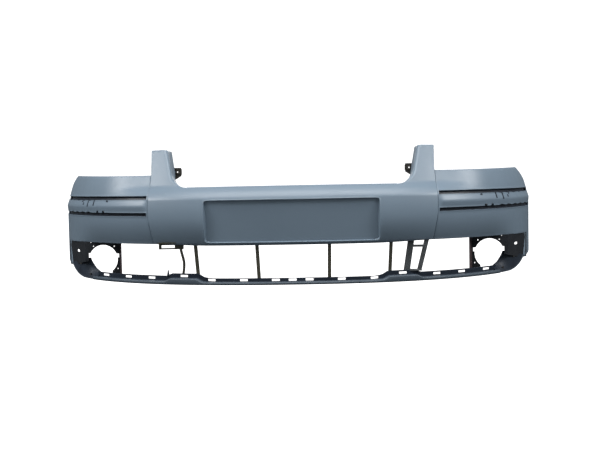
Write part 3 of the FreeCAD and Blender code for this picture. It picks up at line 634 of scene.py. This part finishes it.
def tail_sheet(sheet, sign, xs, top, end, wing_points):
    """The tail below a wing, with its rolled edges and the flange along the whole wheel arch."""
    shares = (end - xs) / (end - xs[0])
    rows = []
    for step in np.linspace(0.0, 1.0, TAIL_ROWS):
        depth = TAIL_FRONT[1] + (TAIL_FRONT[0] - TAIL_FRONT[1]) * step ** 1.2
        start = x_at_depth(depth)
        x_row = end - (end - start) * shares
        floor = polyline(plan_depth(x_row), TAIL_BOTTOM)
        z_row = top + (floor - top) * step
        rows.append(wing_point(sign * x_row, z_row))
    points = np.stack(rows)
    sheet.grid(points, (sign * 0.8, -0.4, 0))
    inward = inward_of(sign * xs)
    bottom = points[-1]
    down = bottom - points[-2]
    sheet.grid(rolled_edge(bottom, down, inward, 5.0, direction=(-sign * 0.8, 0.3, 0.1)), (0, 0, -1))
    front = points[:, 0]
    out = front - points[:, 1]
    side = inward_of(np.full(len(front), sign * xs[0]))
    sheet.grid(rolled_edge(front, out, side, 5.0, direction=(-sign * 0.7, 0.7, 0)), (0, -1, 0))
    back = np.concatenate([points[::-1][:-1, -1], wing_points[:, -1]])
    out = back - np.concatenate([points[::-1][:-1, -2], wing_points[:, -2]])
    side = inward_of(np.full(len(back), sign * end))
    sheet.grid(rolled_edge(back, out, side, 10.0, direction=(-sign, 0, 0), radius=1.6), (0, 1, 0))


def build_cover(primed, dark):
    """The painted skin that stands for the CAD's upper cover."""
    sheet = Sheet()
    centre_sheet(sheet)
    for sign in (-1.0, 1.0):
        wing_sheet(sheet, sign)
    # the second material is painted shade, used for the slits in the wings
    cover = add_object("cover_skin", sheet.mesh("cover_skin"), primed, dark)
    thicken(cover, WALL)
    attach(cover, "root")
    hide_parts("upper_cover")
    return cover


# lower valance

def rail_level(levels, x):
    """A height along the rail from its values in the centre, on the raised stretches and at the sides."""
    centre, raised, side = levels
    base = centre + (side - centre) * smooth(np.abs(x), 250.0, 300.0)
    low, high = RAIL_RAISED
    share = smooth(np.abs(x), low - 12.0, low + 12.0) * (1.0 - smooth(np.abs(x), high - 12.0, high + 12.0))
    return base + (raised - base) * share


def rail_point(x, z, inset):
    """Points on the rail, which lies behind the body's plan curve."""
    nx, ny = plan_normal(x)
    reach = LIP_SETBACK + inset
    return np.stack([x + nx * reach, plan_depth(x) + ny * reach + Y_SHIFT, z + 0.0 * x], axis=-1)


def rail_rows(x):
    """The rail's outer face as rows of (inset, height), and the row where the slotted wall begins."""
    lip = rail_level(LIP_HEIGHT, x)
    foot = rail_level(SLOT_FOOT, x)
    head = rail_level(RAIL_HEIGHT, x)
    rows = [(RAIL_FLOOR_DEPTH, 0.0), (30.0, 0.0), (14.0, 0.0), (3.0, 0.0), (0.9, 0.9), (0.1, 2.6)]
    rows += [(0.0, lip * 0.5), (0.0, lip - 4.0), (0.5, lip - 2.2)]
    rows += [(2.0, lip - 0.8), (4.0, lip - 0.15), (6.0, lip)]
    rows += [(13.0, lip), (RAIL_WALL_INSET - 0.8, lip), (RAIL_WALL_INSET, lip + 0.6)]
    wall = len(rows) - 1
    slot_head = foot + RAIL_SLOT_HEIGHT
    heights = [foot, foot + RAIL_SLOT_HEIGHT / 2.0, slot_head, (slot_head + head) / 2.0, head]
    rows += [(RAIL_WALL_INSET, height) for height in heights]
    return rows, wall


def slot_span(place, width):
    """Where a slot begins and ends in the rail's own X, as its width is measured along the wall."""
    half = width / 2.0 * float(plan_normal(np.array([place]))[1][0])
    return place - half, place + half


def rail_places():
    """Places along the rail, with one at each end of every slot."""
    places = [0.0]
    for place, width in RAIL_SLOTS:
        low, high = slot_span(place, width)
        places += [low, low + 1.2, high - 1.2, high]
    places = [p for p in places if p >= 0.0] + [RAIL_END]
    xs = []
    for a, b in zip(places, places[1:]):
        xs += list(np.linspace(a, b, max(2, int(round((b - a) / 7.0)) + 1))[:-1])
    right = np.array(xs + [RAIL_END])
    return np.concatenate([-right[:0:-1], right])


def rail_sheet(sheet):
    """The rail's lip, ledge and slotted wall, and the hook on the wall."""
    xs = rail_places()
    rows, wall = rail_rows(xs)
    points = np.stack([rail_point(xs, np.broadcast_to(z, xs.shape), inset) for inset, z in rows])
    keep = np.ones((len(rows) - 1, len(xs) - 1), bool)
    middle = (np.abs(xs[:-1]) + np.abs(xs[1:])) / 2.0
    for place, width in RAIL_SLOTS:
        low, high = slot_span(place, width)
        keep[wall + 1:wall + 3, (middle > low) & (middle < high)] = False
    # the back of the ledge and the slotted wall take material 1, painted shade
    looks = np.where(np.arange(len(rows) - 1) >= wall - 2, 1, 0)
    sheet.grid(points, (0, -1, 0.2), keep, looks)
    hook_x, hook_top = RAIL_HOOK
    foot = float(rail_level(RAIL_HEIGHT, hook_x)) - 8.0
    y = rail_point(np.array([hook_x]), np.zeros(1), RAIL_WALL_INSET)[0, 1] + 0.6
    lower = [(hook_x - 4.5, y, foot), (hook_x + 4.5, y, foot)]
    upper = [(hook_x - 1.0, y, hook_top), (hook_x + 1.0, y, hook_top)]
    # the hook takes material 1 too, painted shade
    sheet.grid(np.array([lower, upper]), (0, -1, 0), None, 1)


def smooth_line(points, count):
    """Points on a smooth curve through the given ones, evenly numbered."""
    data = np.array(points, float)
    length = np.concatenate([[0.0], np.cumsum(np.linalg.norm(np.diff(data, axis=0), axis=1))])
    slope = np.gradient(data, length, axis=0)
    out = []
    for place in np.linspace(0.0, length[-1], count):
        k = min(int(np.searchsorted(length, place, side="right")) - 1, len(data) - 2)
        run = length[k + 1] - length[k]
        t = (place - length[k]) / run
        a = (1.0 + 2.0 * t) * (1.0 - t) ** 2 * data[k] + t * (1.0 - t) ** 2 * run * slope[k]
        b = t * t * (3.0 - 2.0 * t) * data[k + 1] + t * t * (t - 1.0) * run * slope[k + 1]
        out.append(a + b)
    return np.array(out)


def bevel_sheet(sheet, sign):
    """The bevel round the lower outer corner, dark inside with painted shade, with a light rolled rim."""
    flip = np.array([sign, 1.0, 1.0])
    shift = np.array([0.0, Y_SHIFT, 0.0])
    rim = (smooth_line(BEVEL_RIM, 41) + shift) * flip
    root = (smooth_line(BEVEL_ROOT, 41) + shift) * flip
    way = root - rim
    rows = []
    for share in (0.0, 0.03, 0.07, 0.12, 0.2, 0.35, 0.5, 0.65, 0.8, 0.92, 1.0):
        bead = 2.2 * math.exp(-((share - 0.05) / 0.05) ** 2)
        crown = 7.0 * math.sin(math.pi * share) + bead
        rows.append(rim + way * share + np.array([0.0, -crown, 0.0]))
    points = np.stack(rows)
    # all but the two rows at the rim take material 1, painted shade
    looks = np.array([0, 0, 1, 1, 1, 1, 1, 1, 1, 1])
    sheet.grid(points, (0, -1, 0.3), None, looks)


def build_valance(primed, dark):
    """The lower rail and bevels that stand for the CAD's lower valance."""
    sheet = Sheet()
    rail_sheet(sheet)
    for sign in (-1.0, 1.0):
        bevel_sheet(sheet, sign)
    # the second material is painted shade for the slotted wall, the hook and the insides of the bevels
    valance = add_object("valance_skin", sheet.mesh("valance_skin"), primed, dark)
    thicken(valance, RAIL_WALL, 0.3)
    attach(valance, "root")
    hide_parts("lower_valance")
    return valance


# materials

class Shader:
    """A node material with a short way to add and link nodes."""

    def __init__(self, name):
        self.material = bpy.data.materials.new(name)
        self.material.use_nodes = True
        self.tree = self.material.node_tree
        self.surface = self.tree.nodes["Principled BSDF"]

    def node(self, kind, values=(), **settings):
        node = self.tree.nodes.new(kind)
        for key, value in settings.items():
            setattr(node, key, value)
        for key, value in dict(values).items():
            node.inputs[key].default_value = value
        return node

    def link(self, source, target):
        self.tree.links.new(source, target)

    def set(self, **values):
        for key, value in values.items():
            self.surface.inputs[key.replace("_", " ")].default_value = value

    def position(self):
        return self.node("ShaderNodeNewGeometry").outputs["Position"]

    def noise(self, scale, detail=2.0, roughness=0.5):
        noise = self.node("ShaderNodeTexNoise", {"Scale": scale, "Detail": detail, "Roughness": roughness})
        self.link(self.position(), noise.inputs["Vector"])
        return noise.outputs["Fac"]

    def ramp(self, source, stops):
        ramp = self.node("ShaderNodeValToRGB")
        elements = ramp.color_ramp.elements
        while len(elements) < len(stops):
            elements.new(0.5)
        for element, (place, colour) in zip(elements, stops):
            element.position = place
            element.color = (*colour, 1.0)
        self.link(source, ramp.inputs["Fac"])
        return ramp.outputs["Color"]

    def bump(self, height, strength, distance):
        bump = self.node("ShaderNodeBump", {"Strength": strength, "Distance": distance})
        self.link(height, bump.inputs["Height"])
        self.link(bump.outputs["Normal"], self.surface.inputs["Normal"])


def primer():
    shader = Shader("primer_grey_blue")
    shader.set(Metallic=0.0, Coat_Weight=0.10, Coat_Roughness=0.25)
    colour = shader.ramp(shader.noise(3.0, 3.0), [(0.3, (0.125, 0.170, 0.215)), (0.7, (0.140, 0.188, 0.236))])
    shader.link(colour, shader.surface.inputs["Base Color"])
    rough = shader.ramp(shader.noise(60.0, 3.0), [(0.3, (0.40,) * 3), (0.7, (0.46,) * 3)])
    shader.link(rough, shader.surface.inputs["Roughness"])
    shader.bump(shader.noise(900.0, 2.0), 0.05, 0.0004)
    return shader.material


def lip_primer():
    """The primer on the lower lip, darker than on the body above it: painted shade, a shaded copy of the
    body's primer.
    """
    shader = Shader("lip_painted_shade_primer")
    shader.set(Metallic=0.0, Specular_IOR_Level=0.35)
    colour = shader.ramp(shader.noise(9.0, 3.0), [(0.3, (0.040, 0.055, 0.072)), (0.7, (0.058, 0.076, 0.096))])
    shader.link(colour, shader.surface.inputs["Base Color"])
    rough = shader.ramp(shader.noise(90.0, 3.0), [(0.3, (0.44,) * 3), (0.7, (0.52,) * 3)])
    shader.link(rough, shader.surface.inputs["Roughness"])
    shader.bump(shader.noise(900.0, 2.0), 0.06, 0.0004)
    return shader.material


def shaded_primer():
    """Painted shade: the primer darkened to stand for the shade inside the bays, on the slotted wall and in
    the slits.
    """
    shader = Shader("primer_in_painted_shade")
    shader.set(Metallic=0.0, Specular_IOR_Level=0.25)
    colour = shader.ramp(shader.noise(14.0, 4.0), [(0.3, (0.007, 0.011, 0.019)), (0.7, (0.016, 0.024, 0.037))])
    shader.link(colour, shader.surface.inputs["Base Color"])
    rough = shader.ramp(shader.noise(90.0, 3.0), [(0.3, (0.42,) * 3), (0.7, (0.58,) * 3)])
    shader.link(rough, shader.surface.inputs["Roughness"])
    shader.bump(shader.noise(700.0, 2.0), 0.12, 0.0004)
    return shader.material


def grained_plastic(name, dark, light, cloud=30.0, gloss=(160.0, 0.45, 0.6), grain=(1200.0, 0.2)):
    """Moulded plastic with faint clouds of colour, an uneven gloss and a fine grain."""
    shader = Shader(name)
    shader.set(Metallic=0.0)
    colour = shader.ramp(shader.noise(cloud, 4.0), [(0.3, dark), (0.7, light)])
    shader.link(colour, shader.surface.inputs["Base Color"])
    gloss_scale, low, high = gloss
    rough = shader.ramp(shader.noise(gloss_scale, 3.0), [(0.3, (low,) * 3), (0.7, (high,) * 3)])
    shader.link(rough, shader.surface.inputs["Roughness"])
    grain_scale, strength = grain
    shader.bump(shader.noise(grain_scale, 2.0), strength, 0.0003)
    return shader.material


def olive_plastic():
    return grained_plastic("olive_black_plastic", (0.024, 0.023, 0.013), (0.042, 0.039, 0.023))


# painted highlight: a lighter grey copy of the black plastic, standing for the light on the tow eye frame
def grey_plastic():
    return grained_plastic("grey_black_plastic", (0.045, 0.050, 0.052), (0.075, 0.082, 0.086))


def black_plastic():
    colours = ((0.016, 0.016, 0.015), (0.026, 0.025, 0.022))
    return grained_plastic("black_grained_plastic", *colours, 25.0, (180.0, 0.48, 0.62), (1500.0, 0.25))


# distance from the car's middle, in metres, where the brown begins to fade and where it is gone
BROWN_FADE = (0.588, 0.596)


def carrier_plastic():
    """Black plastic whose side towards the middle of the car is a reddish brown."""
    shader = Shader("carrier_black_plastic")
    shader.set(Metallic=0.0, Specular_IOR_Level=0.25)
    split = shader.node("ShaderNodeSeparateXYZ")
    shader.link(shader.position(), split.inputs["Vector"])
    side = shader.node("ShaderNodeMath", operation="ABSOLUTE")
    shader.link(split.outputs["X"], side.inputs[0])
    start, end = BROWN_FADE
    fade = {"From Min": start, "From Max": end, "To Min": 1.0, "To Max": 0.0}
    place = shader.node("ShaderNodeMapRange", fade)
    shader.link(side.outputs[0], place.inputs["Value"])
    black = shader.ramp(shader.noise(25.0, 4.0), [(0.3, (0.008, 0.010, 0.013)), (0.7, (0.016, 0.018, 0.022))])
    brown = shader.ramp(shader.noise(40.0, 4.0), [(0.3, (0.060, 0.040, 0.042)), (0.7, (0.085, 0.058, 0.058))])
    mix = shader.node("ShaderNodeMix", data_type="RGBA")
    shader.link(place.outputs["Result"], mix.inputs["Factor"])
    shader.link(black, mix.inputs["A"])
    shader.link(brown, mix.inputs["B"])
    shader.link(mix.outputs["Result"], shader.surface.inputs["Base Color"])
    rough = shader.ramp(shader.noise(180.0, 3.0), [(0.3, (0.45,) * 3), (0.7, (0.6,) * 3)])
    shader.link(rough, shader.surface.inputs["Roughness"])
    shader.bump(shader.noise(1500.0, 2.0), 0.25, 0.0003)
    return shader.material


def dark_channel():
    shader = Shader("dark_blue_black_plastic")
    shader.set(Metallic=0.0)
    colour = shader.ramp(shader.noise(20.0, 3.0), [(0.3, (0.010, 0.016, 0.028)), (0.7, (0.018, 0.026, 0.040))])
    shader.link(colour, shader.surface.inputs["Base Color"])
    rough = shader.ramp(shader.noise(150.0, 3.0), [(0.3, (0.45,) * 3), (0.7, (0.6,) * 3)])
    shader.link(rough, shader.surface.inputs["Roughness"])
    return shader.material


def metal(name, dark, light, low, high):
    shader = Shader(name)
    shader.set(Metallic=1.0)
    colour = shader.ramp(shader.noise(220.0, 4.0), [(0.3, dark), (0.7, light)])
    shader.link(colour, shader.surface.inputs["Base Color"])
    rough = shader.ramp(shader.noise(500.0, 3.0), [(0.3, (low,) * 3), (0.7, (high,) * 3)])
    shader.link(rough, shader.surface.inputs["Roughness"])
    return shader.material


# room

SEEN_WHITE = 1.6
FLOOR_COLOUR = (0.07, 0.075, 0.08)
FILL_STRENGTH = 0.18
TOP_POWER = 82.0
SIDE_POWER = 40.0
BACK_POWER = 30.0
FRONT_POWER = 16.0


def build_stage():
    """A dark grey floor that shines back little, and that the camera sees as plain white."""
    bpy.ops.mesh.primitive_plane_add(size=30.0, location=(0.0, 0.0, 0.0))
    floor = bpy.context.object
    floor.name = "floor"
    shader = Shader("floor_white")
    shader.set(Roughness=1.0)
    shader.surface.inputs["Base Color"].default_value = (*FLOOR_COLOUR, 1.0)
    white = shader.node("ShaderNodeEmission", {"Strength": SEEN_WHITE})
    mix_seen(shader.tree, shader.surface.outputs["BSDF"], white.outputs["Emission"], "Material Output")
    floor.data.materials.append(shader.material)


def mix_seen(tree, unseen, seen, output):
    """Shows one shader to the camera and lets the other one light the room."""
    path = tree.nodes.new("ShaderNodeLightPath")
    mix = tree.nodes.new("ShaderNodeMixShader")
    tree.links.new(path.outputs["Is Camera Ray"], mix.inputs["Fac"])
    tree.links.new(unseen, mix.inputs[1])
    tree.links.new(seen, mix.inputs[2])
    tree.links.new(mix.outputs["Shader"], tree.nodes[output].inputs["Surface"])


def area_light(name, place, target, size, power, colour=(1.0, 1.0, 1.0)):
    light = bpy.data.lights.new(name, "AREA")
    light.shape = "RECTANGLE"
    light.size, light.size_y = size
    light.energy = power
    light.color = colour
    lamp = bpy.data.objects.new(name, light)
    bpy.context.scene.collection.objects.link(lamp)
    lamp.location = place
    lamp.rotation_euler = (Vector(target) - Vector(place)).to_track_quat("-Z", "Y").to_euler()


def build_lights():
    """A white room that the camera sees bright, while it lights the object only softly."""
    world = bpy.data.worlds.new("studio")
    bpy.context.scene.world = world
    world.use_nodes = True
    fill = world.node_tree.nodes["Background"]
    fill.inputs["Color"].default_value = (0.90, 0.95, 1.0, 1.0)
    fill.inputs["Strength"].default_value = FILL_STRENGTH
    seen = world.node_tree.nodes.new("ShaderNodeBackground")
    seen.inputs["Strength"].default_value = SEEN_WHITE
    mix_seen(world.node_tree, fill.outputs["Background"], seen.outputs["Background"], "World Output")
    area_light("top_softbox", (0.0, -1.0, 2.3), (0.0, -0.1, 0.25), (3.2, 1.1), TOP_POWER)
    for sign in (-1.0, 1.0):
        area_light("side_softbox", (sign * 2.5, -1.0, 1.7), (sign * 0.72, -0.05, 0.28), (0.9, 0.9), SIDE_POWER)
    area_light("front_softbox", (-0.3, -3.4, 1.6), (0.0, 0.0, 0.2), (2.6, 0.8), FRONT_POWER, (0.95, 0.98, 1.0))
    area_light("back_softbox", (0.0, 2.6, 1.7), (0.0, 0.1, 0.2), (2.8, 1.0), BACK_POWER)


CAMERA_DISTANCE = 2.0
CAMERA_PLACE = (0.082, 0.261)
CAMERA_FOCAL = 40.1
CAMERA_YAW = math.radians(1.6)
CAMERA_PITCH = math.radians(-2.3)
CAMERA_ROLL = math.radians(-1.1)


def build_camera():
    data = bpy.data.cameras.new("camera")
    data.lens = CAMERA_FOCAL
    data.sensor_width = 36.0
    data.clip_end = 60.0
    camera = bpy.data.objects.new("camera", data)
    bpy.context.scene.collection.objects.link(camera)
    facing = Matrix.Rotation(CAMERA_YAW, 4, "Z") @ Matrix.Rotation(math.pi / 2.0 + CAMERA_PITCH, 4, "X")
    facing = facing @ Matrix.Rotation(CAMERA_ROLL, 4, "Z")
    place = Vector((CAMERA_PLACE[0], CAD_BOUNDS[0][1] - CAMERA_DISTANCE, CAMERA_PLACE[1]))
    camera.matrix_world = Matrix.Translation(place) @ facing
    bpy.context.scene.camera = camera


SPECIAL_LOOKS = (
    ("intake_strut", "olive_plastic"),
    # the tow eye frame's grey is a painted highlight
    ("tow_eye_frame", "grey_plastic"),
    ("grille_clip_frame", "olive_plastic"),
    ("valance_strap", "olive_plastic"),
    ("fog_lamp_carrier", "carrier_plastic"),
)


def dress_cad_nodes(looks):
    """Gives every CAD node that still shows its material and a small edge radius."""
    slots = {row["node"]: row["material_slot"] for row in frame["record"]["subparts"]}
    for name, node in frame["nodes"].items():
        look = looks[slots[name]]
        for start, other in SPECIAL_LOOKS:
            if name.startswith(start):
                look = looks[other]
        node.data.materials.clear()
        node.data.materials.append(look)
        edge = node.modifiers.new("edge", "BEVEL")
        edge.width = 0.4 * MM
        edge.segments = 2
        edge.limit_method = "ANGLE"
        edge.angle_limit = math.radians(40.0)


def main():
    bpy.context.scene.view_settings.view_transform = "Standard"
    looks = {
        "primed_plastic": primer(),
        "black_plastic": black_plastic(),
        "olive_plastic": olive_plastic(),
        "grey_plastic": grey_plastic(),
        "carrier_plastic": carrier_plastic(),
        "shaded_primer": shaded_primer(),
        "lip_primer": lip_primer(),
        "dark_channel": dark_channel(),
        "zinc_steel": metal("zinc_plate", (0.45, 0.45, 0.43), (0.6, 0.6, 0.57), 0.28, 0.42),
        "spring_steel": metal("blackened_spring_steel", (0.05, 0.045, 0.04), (0.11, 0.10, 0.085), 0.32, 0.48),
    }
    # the shaded primer paints shade into the slits, onto the slotted rail wall and the hook, and inside the
    # bevels
    build_cover(looks["primed_plastic"], looks["shaded_primer"])
    # the lip's primer is a darker copy of the body's primer that carries painted shade
    build_valance(looks["lip_primer"], looks["shaded_primer"])
    dress_cad_nodes(looks)
    build_stage()
    build_lights()
    build_camera()


main()
